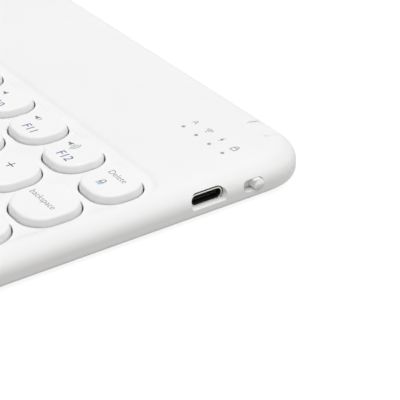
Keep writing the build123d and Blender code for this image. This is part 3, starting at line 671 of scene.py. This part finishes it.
def draw_padlock(pen):
    pen.fill([(-0.85, -1.15), (0.85, -1.15), (0.85, 0.0), (-0.85, 0.0)], pen.second)
    pen.line([(-0.85, -0.02), (0.85, -0.02)], width=0.16)
    pen.line([(-0.52, 0.06), *arc(0, 0.68, 0.52, 180, 0), (0.52, 0.06)], width=0.24)


def draw_padlock_case(pen):
    pen.line([(-0.75, -1.0), (0.75, -1.0), (0.75, 0.2), (-0.75, 0.2)], closed=True, width=0.22)
    pen.line([(-0.45, 0.32), *arc(0, 0.62, 0.45, 180, 0, 8), (0.45, 0.32)])


def draw_bolt(pen):
    pen.fill([(0.25, 1.25), (-0.5, -0.1), (-0.02, -0.1)])
    pen.fill([(-0.25, -1.25), (0.5, 0.1), (0.02, 0.1)])
    pen.fill([(-0.02, -0.1), (0.5, 0.1), (0.02, 0.1), (-0.5, -0.1)])


def draw_radio(pen):
    pen.fill(ring(0, -0.85, 0.22, 8))
    for radius in (0.7, 1.2, 1.7):
        pen.line(arc(0, -0.85, radius, 48, 132, 8), width=0.18)


# How each icon is drawn, and with which sizes.
ICONS = {
    "sun_small": (draw_sun, {"size": 0.32, "reach": 0.75}),
    "sun_large": (draw_sun, {"size": 0.42, "reach": 1.05}),
    "window": (draw_window, {}),
    "panel": (draw_panel, {}),
    "magnifier": (draw_magnifier, {}),
    "globe": (draw_globe, {}),
    "previous": (draw_skip, {"way": -1}),
    "play": (draw_play, {}),
    "next": (draw_skip, {"way": 1}),
    "speaker": (draw_speaker, {"waves": []}),
    "speaker_low": (draw_speaker, {"waves": [0.6]}),
    "speaker_high": (draw_speaker, {"waves": [0.6, 1.1, 1.6]}),
    "padlock": (draw_padlock, {}),
    "padlock_case": (draw_padlock_case, {}),
    "bolt": (draw_bolt, {}),
    "radio": (draw_radio, {}),
}


def draw_mark(layer, mark, x, y, scale, ink=0, second=0):
    """One small icon round its own centre."""
    draw, sizes = ICONS[mark]
    draw(IconPen(layer, x, y, scale, ink, second), **sizes)


# ---------------------------------------------------------------- key caps
def across_x(mesh, face):
    """Where a face begins and ends along X."""
    xs = [mesh.vertices[i].co.x for i in face.vertices]
    return min(xs), max(xs)


def cap_centres(cad_node):
    """Centres of the caps in a key node, from left to right."""
    low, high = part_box(cad_node)
    mesh = frame["nodes"][cad_node].data
    caps = []
    for left, right in sorted(across_x(mesh, face) for face in mesh.polygons):
        if caps and left <= caps[-1][1] + TOUCHING:
            caps[-1][1] = max(caps[-1][1], right)
        else:
            caps.append([left, right])
    return [((left + right) / 2, (low.y + high.y) / 2) for left, right in caps]


def shifted(centre, place):
    """A place on a cap, measured from its centre."""
    return centre[0] + place[0], centre[1] + place[1]


def key_nodes():
    """Every key node."""
    return [n for n in frame["nodes"] if n.startswith(("key_", "keys_")) and n != "key_plate"]


# ---------------------------------------------------------------- operators
class KEYBOARD_OT_finishes(bpy.types.Operator):
    """Make the moulded, metal, rubber and printed finishes"""

    bl_idname = "keyboard.finishes"
    bl_label = "Finishes"

    def execute(self, context):
        f = context.scene.keyboard_finishes
        p = context.scene.keyboard_print
        grain, depth = f.grain_size, f.grain_depth
        satin = f.cover_roughness
        moulded_plastic("cover_satin", f.cover_colour, satin, grain, depth)
        moulded_plastic("under_satin", f.under_colour, satin + 0.08, grain * 1.6, depth * 2)
        moulded_plastic(
            "key_satin", f.key_colour, f.key_roughness, grain * 0.7, depth * 0.6, mottle=0.008)
        moulded_plastic("knob_satin", f.cover_colour, 0.42, grain, depth)
        moulded_plastic("scissor_nylon", (0.86, 0.86, 0.83), 0.5, grain, depth * 2, mottle=0.03)
        moulded_plastic("chip_resin", (0.03, 0.03, 0.032), 0.48, grain, depth * 3, mottle=0.1)
        moulded_plastic("tongue_resin", (0.022, 0.022, 0.024), 0.28, grain, depth, mottle=0.1)
        # painted shade: near-black for the steel inside the port, which is only shaded there
        moulded_plastic("tunnel_painted_shade", (0.012, 0.012, 0.013), 0.55, grain, depth, mottle=0.1)
        brushed_metal("plate_steel", (0.58, 0.59, 0.60), 0.34)
        brushed_metal("wire_steel", (0.66, 0.67, 0.68), 0.25, stretch=(30, 1, 30), scale=300.0)
        brushed_metal("screw_steel", (0.60, 0.61, 0.62), 0.3, stretch=(8, 8, 1), scale=500.0)
        brushed_metal("port_steel", (0.80, 0.76, 0.70), 0.24, stretch=(1, 12, 12), scale=400.0)
        brushed_metal("switch_steel", (0.64, 0.64, 0.63), 0.32)
        brushed_metal("contact_gold", (0.86, 0.62, 0.26), 0.22, stretch=(4, 20, 20), scale=500.0)
        brushed_metal("battery_foil", (0.62, 0.63, 0.66), 0.3, stretch=(6, 6, 6), scale=90.0)
        brushed_metal("magnet_nickel", (0.70, 0.70, 0.68), 0.18, stretch=(3, 3, 3), scale=200.0)
        soft_rubber("foot_rubber", (0.55, 0.55, 0.54))
        soft_rubber("dome_rubber", (0.84, 0.84, 0.82), roughness=0.6)
        # painted shade: black for the ring in the shaded gap round the port
        soft_rubber("painted_shade_ring", (0.022, 0.021, 0.020), roughness=0.8)
        soft_rubber("lead_insulation", (0.50, 0.04, 0.035), roughness=0.5)
        smoked_lens("pipe_smoke", (0.10, 0.10, 0.11))
        smoked_lens("lamp_resin", (0.80, 0.76, 0.55))
        striped_film("membrane_film", (0.80, 0.82, 0.84), (0.55, 0.57, 0.60), spacing=0.004)
        striped_film("tail_film", (0.55, 0.30, 0.08), (0.72, 0.45, 0.16), spacing=0.001)
        solder_mask("board_mask", (0.02, 0.13, 0.06), (0.05, 0.22, 0.11))
        colours = (p.dark_ink, p.blue_ink, p.mist_ink, p.sky_ink, p.grey_ink)
        for name, colour in zip(KEY_INKS, colours, strict=True):
            printed_ink(name, colour)
        return {"FINISHED"}


class KEYBOARD_OT_covers(bpy.types.Operator):
    """Dress the top and bottom covers"""

    bl_idname = "keyboard.covers"
    bl_label = "Covers"

    def execute(self, context):
        welded_copy("top_cover", "cover_satin")
        welded_copy("bottom_cover", "under_satin")
        return {"FINISHED"}


class KEYBOARD_OT_key_caps(bpy.types.Operator):
    """Dress every key cap"""

    bl_idname = "keyboard.key_caps"
    bl_label = "Key caps"

    def execute(self, context):
        for name in key_nodes():
            welded_copy(name, "key_satin")
        return {"FINISHED"}


class KEYBOARD_OT_legends(bpy.types.Operator):
    """Print the legends on the key caps"""

    bl_idname = "keyboard.legends"
    bl_label = "Legends"

    def execute(self, context):
        self.p = context.scene.keyboard_print
        self.inks = [finish(name) for name in KEY_INKS]
        for cad_node, numbers in FUNCTION_KEYS.items():
            self.print_caps(cad_node, numbers, self.function_mark)
        for cad_node, signs in CHARACTER_KEYS.items():
            self.print_caps(cad_node, signs, self.characters)
        for cad_node, word in WORD_KEYS.items():
            self.print_caps(cad_node, [word], self.word)
        for cad_node, angle in ARROW_KEYS.items():
            self.print_caps(cad_node, [angle], self.arrow)
        self.print_caps("key_delete", ["Delete"], self.delete_mark)
        return {"FINISHED"}

    def print_caps(self, cad_node, marks, draw):
        """Prints one mark on each cap of a node."""
        layer = FlatPrint(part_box(cad_node)[1].z, self.p.ink_thickness, self.p.stroke_thinning)
        for mark, centre in zip(marks, cap_centres(cad_node), strict=True):
            draw(layer, mark, centre)
        layer.as_piece(cad_node + "_legend", self.inks, body_of(cad_node))

    def function_mark(self, layer, number, centre):
        """A function key's icon above its number."""
        x, y = shifted(centre, NUMBER_PLACE)
        layer.text(f"F{number}", x, y, self.p.number_height, INK_BLUE, bold=True)
        x, y = shifted(centre, ICON_PLACE)
        icon = FUNCTION_MARKS[number]
        draw_mark(layer, icon, x, y, self.p.function_scale, INK_GREY, INK_MIST)

    def characters(self, layer, signs, centre):
        """One letter, or two signs one above the other."""
        if len(signs) == 1:
            layer.text(signs, *centre, self.p.letter_height)
            return
        for sign, place in zip(signs, SIGN_PLACES):
            growth = 1.0 if sign.isalnum() else SYMBOL_GROWTH
            layer.text(sign, *shifted(centre, place), self.p.sign_height * growth)

    def word(self, layer, word, centre):
        """The word in the middle of a cap."""
        layer.text(word, *shifted(centre, WORD_PLACE), self.p.word_height)

    def arrow(self, layer, angle, centre):
        """A filled arrowhead."""
        layer.outline(arc(*centre, ARROW_RADIUS, angle, angle + 240, 2))

    def delete_mark(self, layer, word, centre):
        """The word above a padlock."""
        layer.text(word, *shifted(centre, DELETE_PLACE), self.p.word_height)
        x, y = shifted(centre, PADLOCK_PLACE)
        draw_mark(layer, "padlock", x, y, self.p.mark_scale, INK_DARK, INK_SKY)


class KEYBOARD_OT_lamp_marks(bpy.types.Operator):
    """Print the icons beside the indicator lamps, and dress the light pipes"""

    bl_idname = "keyboard.lamp_marks"
    bl_label = "Lamp icons"

    def execute(self, context):
        p = context.scene.keyboard_print
        low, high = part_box("light_pipes")
        radius = (high.y - low.y) / 2
        step = (high.x - low.x - 2 * radius) / (len(LAMP_MARKS) - 1)
        layer = FlatPrint(high.z, p.ink_thickness, p.stroke_thinning)
        for i, mark in enumerate(LAMP_MARKS):
            x = low.x + radius + i * step
            y = (low.y + high.y) / 2 + p.lamp_mark_lift
            if mark == "letter_a":
                layer.text("A", x, y, p.word_height)
            else:
                draw_mark(layer, mark, x, y, p.mark_scale)
        layer.as_piece("lamp_icons", [finish("ink_grey")], "case")
        paint("light_pipes", "pipe_smoke")
        paint("indicator_leds", "lamp_resin")
        return {"FINISHED"}


class KEYBOARD_OT_port(bpy.types.Operator):
    """Dress the charging port, paint shade inside it and round it in black, and lay its contacts"""

    bl_idname = "keyboard.port"
    bl_label = "Charging port"

    def execute(self, context):
        p = context.scene.keyboard_port
        shell = welded_copy("usb_c_shell", "port_steel")
        self.paint_shade_inside(shell, p.rim_depth)
        self.lay_shade_ring(p)
        welded_copy("usb_c_tongue", "tongue_resin")
        low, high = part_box("usb_c_tongue")
        values = {
            "Count": p.contact_count,
            "Pitch": p.contact_pitch,
            "Width": p.contact_width,
            "Length": p.contact_length,
            "Thickness": p.contact_thickness,
            "Tip X": high.x - p.contact_setback,
            "Middle Y": (low.y + high.y) / 2,
            "Middle Z": (low.z + high.z) / 2,
            "Half Tongue": TONGUE_HALF,
        }
        piece = grown_piece("port_contacts", self.contact_row(values), values)
        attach(piece, "case")
        return {"FINISHED"}

    def contact_row(self, values):
        """A node tree that lays a row of contacts on each face of the tongue."""
        tree = bpy.data.node_groups.new("contact_row", "GeometryNodeTree")
        sockets = tree.interface
        sockets.new_socket("Geometry", in_out="INPUT", socket_type="NodeSocketGeometry")
        for name, value in values.items():
            kind = "NodeSocketInt" if name == "Count" else "NodeSocketFloat"
            sockets.new_socket(name, in_out="INPUT", socket_type=kind).default_value = value
        sockets.new_socket("Geometry", in_out="OUTPUT", socket_type="NodeSocketGeometry")
        given = {socket.name: socket for socket in node(tree, "NodeGroupInput").outputs}

        def step(kind, inputs, **settings):
            return node(tree, kind, inputs, **settings).outputs[0]

        def maths(operation, a, b):
            return step("ShaderNodeMath", {0: a, 1: b}, operation=operation)

        def vector(x, y, z):
            return step("ShaderNodeCombineXYZ", {"X": x, "Y": y, "Z": z})

        gaps = maths("SUBTRACT", given["Count"], 1.0)
        half_row = maths("MULTIPLY", gaps, maths("MULTIPLY", given["Pitch"], 0.5))
        start_y = maths("SUBTRACT", given["Middle Y"], half_row)
        middle_x = maths("SUBTRACT", given["Tip X"], maths("MULTIPLY", given["Length"], 0.5))
        rise = maths("MULTIPLY", given["Thickness"], CONTACT_RISE)
        lift = maths("ADD", given["Half Tongue"], rise)
        start = vector(middle_x, start_y, maths("ADD", given["Middle Z"], lift))
        offset = vector(0.0, given["Pitch"], 0.0)
        places = {"Count": given["Count"], "Start Location": start, "Offset": offset}
        row = step("GeometryNodeMeshLine", places, mode="OFFSET")
        size = vector(given["Length"], given["Width"], given["Thickness"])
        block = step("GeometryNodeMeshCube", {"Size": size})
        upper = step("GeometryNodeInstanceOnPoints", {"Points": row, "Instance": block})
        drop = vector(0.0, 0.0, maths("MULTIPLY", lift, -2.0))
        lower = step("GeometryNodeTransform", {"Geometry": upper, "Translation": drop})
        both = step("GeometryNodeJoinGeometry", {"Geometry": upper})
        tree.links.new(lower, both.node.inputs["Geometry"])
        real = step("GeometryNodeRealizeInstances", {"Geometry": both})
        gold = {"Geometry": real, "Material": finish("contact_gold")}
        coat = step("GeometryNodeSetMaterial", gold)
        node(tree, "NodeGroupOutput", {"Geometry": coat})
        return tree

    def lay_shade_ring(self, p):
        """Lays a black ring between the receptacle and the cover, painted shade for the dark gap
        round the receptacle.
        """
        low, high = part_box("usb_c_shell")
        middle = (low + high) / 2
        half = (high - low) / 2
        front = high.x - p.shade_ring_setback
        form = bmesh.new()
        rings = []
        for x in (front, front - p.shade_ring_length):
            for grown in (0.0, p.shade_ring_width):
                outline = []
                for way, start, end in ((1, -90, 90), (-1, 90, 270)):
                    across = way * (half.y - half.z)
                    outline += arc(across, 0, half.z + grown, start, end, SHADE_RING_STEPS)
                rings.append([form.verts.new((x, middle.y + y, middle.z + z)) for y, z in outline])
        inner_front, outer_front, inner_back, outer_back = rings
        around = [inner_front, outer_front, outer_back, inner_back]
        for a, b in zip(around, around[1:] + around[:1]):
            for i in range(len(a)):
                form.faces.new((a[i - 1], b[i - 1], b[i], a[i]))
        bmesh.ops.recalc_face_normals(form, faces=form.faces)
        mesh = bpy.data.meshes.new("port_shade_ring")
        form.to_mesh(mesh)
        form.free()
        mesh.materials.append(finish("painted_shade_ring"))
        piece = set_down("port_shade_ring", mesh)
        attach(piece, "case")

    def paint_shade_inside(self, shell, rim_depth):
        """Paints shade on the shell's inner faces behind its rim: they get a near-black material,
        though the real steel inside is only shaded.
        """
        low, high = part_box("usb_c_shell")
        middle = (low + high) / 2
        rim_end = high.x - rim_depth
        shell.data.materials.append(finish("tunnel_painted_shade"))
        form = bmesh.new()
        form.from_mesh(shell.data)
        everything = [*form.verts, *form.edges, *form.faces]
        bmesh.ops.bisect_plane(
            form, geom=everything, plane_co=(rim_end, 0, 0), plane_no=(1, 0, 0))
        for face in form.faces:
            centre = face.calc_center_median()
            out = centre - middle
            facing_out = face.normal.y * out.y + face.normal.z * out.z
            # inward faces behind the rim take the painted shade
            if facing_out < -TOUCHING and centre.x < rim_end:
                face.material_index = 1
        form.to_mesh(shell.data)
        form.free()


def grown_piece(name, tree, values):
    """The plain mesh that a node tree makes with these values."""
    carrier = set_down(name + "_seed", bpy.data.meshes.new(name + "_seed"))
    modifier = carrier.modifiers.new("tree", "NODES")
    modifier.node_group = tree
    sockets = [item for item in tree.interface.items_tree if item.in_out == "INPUT"]
    identifiers = {item.name: item.identifier for item in sockets}
    for key, value in values.items():
        modifier[identifiers[key]] = value
    mesh = plain_mesh(carrier)
    mesh.name = name
    carrier.modifiers.remove(modifier)
    bpy.data.objects.remove(carrier)
    if not mesh.polygons:
        raise RuntimeError(f"{name} came out empty")
    return set_down(name, mesh)


class KEYBOARD_OT_switch(bpy.types.Operator):
    """Dress the power switch"""

    bl_idname = "keyboard.power_switch"
    bl_label = "Power switch"

    def execute(self, context):
        welded_copy("switch_knob", "knob_satin")
        paint("switch_lever", "chip_resin")
        paint("slide_switch_body", "switch_steel")
        return {"FINISHED"}


class KEYBOARD_OT_inner_parts(bpy.types.Operator):
    """Dress the key mechanism, the board and the battery"""

    bl_idname = "keyboard.inner_parts"
    bl_label = "Inner parts"

    def execute(self, context):
        finishes = {
            "key_plate": "plate_steel",
            "contact_membrane": "membrane_film",
            "rubber_domes": "dome_rubber",
            "scissor_outer_frames": "scissor_nylon",
            "scissor_inner_frames": "scissor_nylon",
            "stabiliser_wires": "wire_steel",
            "main_board": "board_mask",
            "board_chips": "chip_resin",
            "board_screws": "screw_steel",
            "battery_cell": "battery_foil",
            "battery_leads": "lead_insulation",
            "membrane_tail": "tail_film",
            "holding_magnets": "magnet_nickel",
        }
        for name, material in finishes.items():
            paint(name, material)
        return {"FINISHED"}


class KEYBOARD_OT_underside(bpy.types.Operator):
    """Dress the feet and the screws under the keyboard"""

    bl_idname = "keyboard.underside"
    bl_label = "Feet and screws"

    def execute(self, context):
        welded_copy("rubber_feet", "foot_rubber")
        paint("case_screws", "screw_steel")
        return {"FINISHED"}


class KEYBOARD_OT_stage(bpy.types.Operator):
    """Set the floor, the soft light and the camera"""

    bl_idname = "keyboard.stage"
    bl_label = "Stage"

    def execute(self, context):
        s = context.scene.keyboard_stage
        scene = context.scene
        scene.view_settings.view_transform = "Standard"
        self.lay_floor(s)
        self.light_world(scene, s)
        lamp = bpy.data.lights.new("soft_lamp", "AREA")
        lamp.shape = "SQUARE"
        lamp.size = s.lamp_size
        lamp.energy = s.lamp_power
        carrier = set_down("soft_lamp", lamp)
        carrier.location = Vector(s.lamp_lean) + Vector((0, 0, s.lamp_height))
        carrier.rotation_euler = (-Vector(carrier.location)).to_track_quat("-Z", "Y").to_euler()
        camera = bpy.data.cameras.new("camera")
        camera.lens = s.camera_lens
        camera.sensor_width = SENSOR_WIDTH
        camera.clip_start = NEAR_CLIP
        stand = set_down("camera", camera)
        stand.location = s.camera_place
        stand.rotation_euler = s.camera_turn
        scene.camera = stand
        return {"FINISHED"}

    def lay_floor(self, s):
        """A pale floor that keeps a faint shadow."""
        material = bpy.data.materials.new("floor_white")
        tree = cleared_tree(material)
        paper_colour = tint(FLOOR_TINT, s.floor_bounce)
        paper = node(tree, "ShaderNodeBsdfDiffuse", {"Color": paper_colour})
        veil = node(tree, "ShaderNodeBsdfDiffuse", {"Color": tint((s.floor_shadow,) * 3)})
        level = FLOOR_GLOW - s.floor_shadow
        glow = node(tree, "ShaderNodeEmission", {"Color": WHITE, "Strength": level})
        both = node(tree, "ShaderNodeAddShader", {0: veil.outputs[0], 1: glow.outputs[0]})
        self.split_rays(tree, "ShaderNodeOutputMaterial", paper, both)
        half = s.floor_size / 2
        corners = [(-half, -half, 0), (half, -half, 0), (half, half, 0), (-half, half, 0)]
        mesh = bpy.data.meshes.new("floor")
        mesh.from_pydata(corners, [], [(0, 1, 2, 3)])
        mesh.materials.append(material)
        floor = set_down("floor", mesh)

    def light_world(self, scene, s):
        """White surroundings that light the keyboard at a plain level."""
        scene.world = bpy.data.worlds.new("surroundings")
        tree = cleared_tree(scene.world)
        sky = node(tree, "ShaderNodeBackground", {"Color": WHITE, "Strength": s.world_level})
        backdrop = node(tree, "ShaderNodeBackground", {"Color": WHITE, "Strength": 1.0})
        self.split_rays(tree, "ShaderNodeOutputWorld", sky, backdrop)

    def split_rays(self, tree, output, unseen, seen):
        """One shader for the light on the keyboard, and one for the eye, mirrors and glass."""
        path = node(tree, "ShaderNodeLightPath").outputs
        eye = {0: path["Is Camera Ray"], 1: path["Is Glossy Ray"]}
        first = node(tree, "ShaderNodeMath", eye, operation="MAXIMUM")
        glass = {0: first.outputs[0], 1: path["Is Transmission Ray"]}
        second = node(tree, "ShaderNodeMath", glass, operation="MAXIMUM")
        pair = {0: second.outputs[0], 1: unseen.outputs[0], 2: seen.outputs[0]}
        mix = node(tree, "ShaderNodeMixShader", pair)
        node(tree, output, {"Surface": mix.outputs[0]})


PIECE_OPERATORS = (
    KEYBOARD_OT_finishes,
    KEYBOARD_OT_covers,
    KEYBOARD_OT_key_caps,
    KEYBOARD_OT_legends,
    KEYBOARD_OT_lamp_marks,
    KEYBOARD_OT_port,
    KEYBOARD_OT_switch,
    KEYBOARD_OT_inner_parts,
    KEYBOARD_OT_underside,
    KEYBOARD_OT_stage,
)
SETTINGS = {
    "keyboard_finishes": KEYBOARD_PG_finishes,
    "keyboard_print": KEYBOARD_PG_print,
    "keyboard_port": KEYBOARD_PG_port,
    "keyboard_stage": KEYBOARD_PG_stage,
}


class KEYBOARD_PT_panel(bpy.types.Panel):
    """The pieces of the keyboard and their sizes"""

    bl_idname = "KEYBOARD_PT_panel"
    bl_label = "Keyboard"
    bl_space_type = "VIEW_3D"
    bl_region_type = "UI"
    bl_category = "Keyboard"

    def draw(self, context):
        for name, kind in SETTINGS.items():
            box = self.layout.box()
            for key in kind.__annotations__:
                box.prop(getattr(context.scene, name), key)
        for operator in PIECE_OPERATORS:
            self.layout.operator(operator.bl_idname)


def register():
    for kind in (*SETTINGS.values(), *PIECE_OPERATORS, KEYBOARD_PT_panel):
        bpy.utils.register_class(kind)
    for name, kind in SETTINGS.items():
        setattr(bpy.types.Scene, name, PointerProperty(type=kind))


def unregister():
    for name in SETTINGS:
        delattr(bpy.types.Scene, name)
    for kind in (KEYBOARD_PT_panel, *reversed(PIECE_OPERATORS), *reversed(list(SETTINGS.values()))):
        bpy.utils.unregister_class(kind)


def main():
    """Builds every piece in order."""
    register()
    bpy.ops.keyboard.finishes()
    bpy.ops.keyboard.covers()
    bpy.ops.keyboard.key_caps()
    bpy.ops.keyboard.legends()
    bpy.ops.keyboard.lamp_marks()
    bpy.ops.keyboard.port()
    bpy.ops.keyboard.power_switch()
    bpy.ops.keyboard.inner_parts()
    bpy.ops.keyboard.underside()
    bpy.ops.keyboard.stage()


if __name__ == "__main__":
    main()
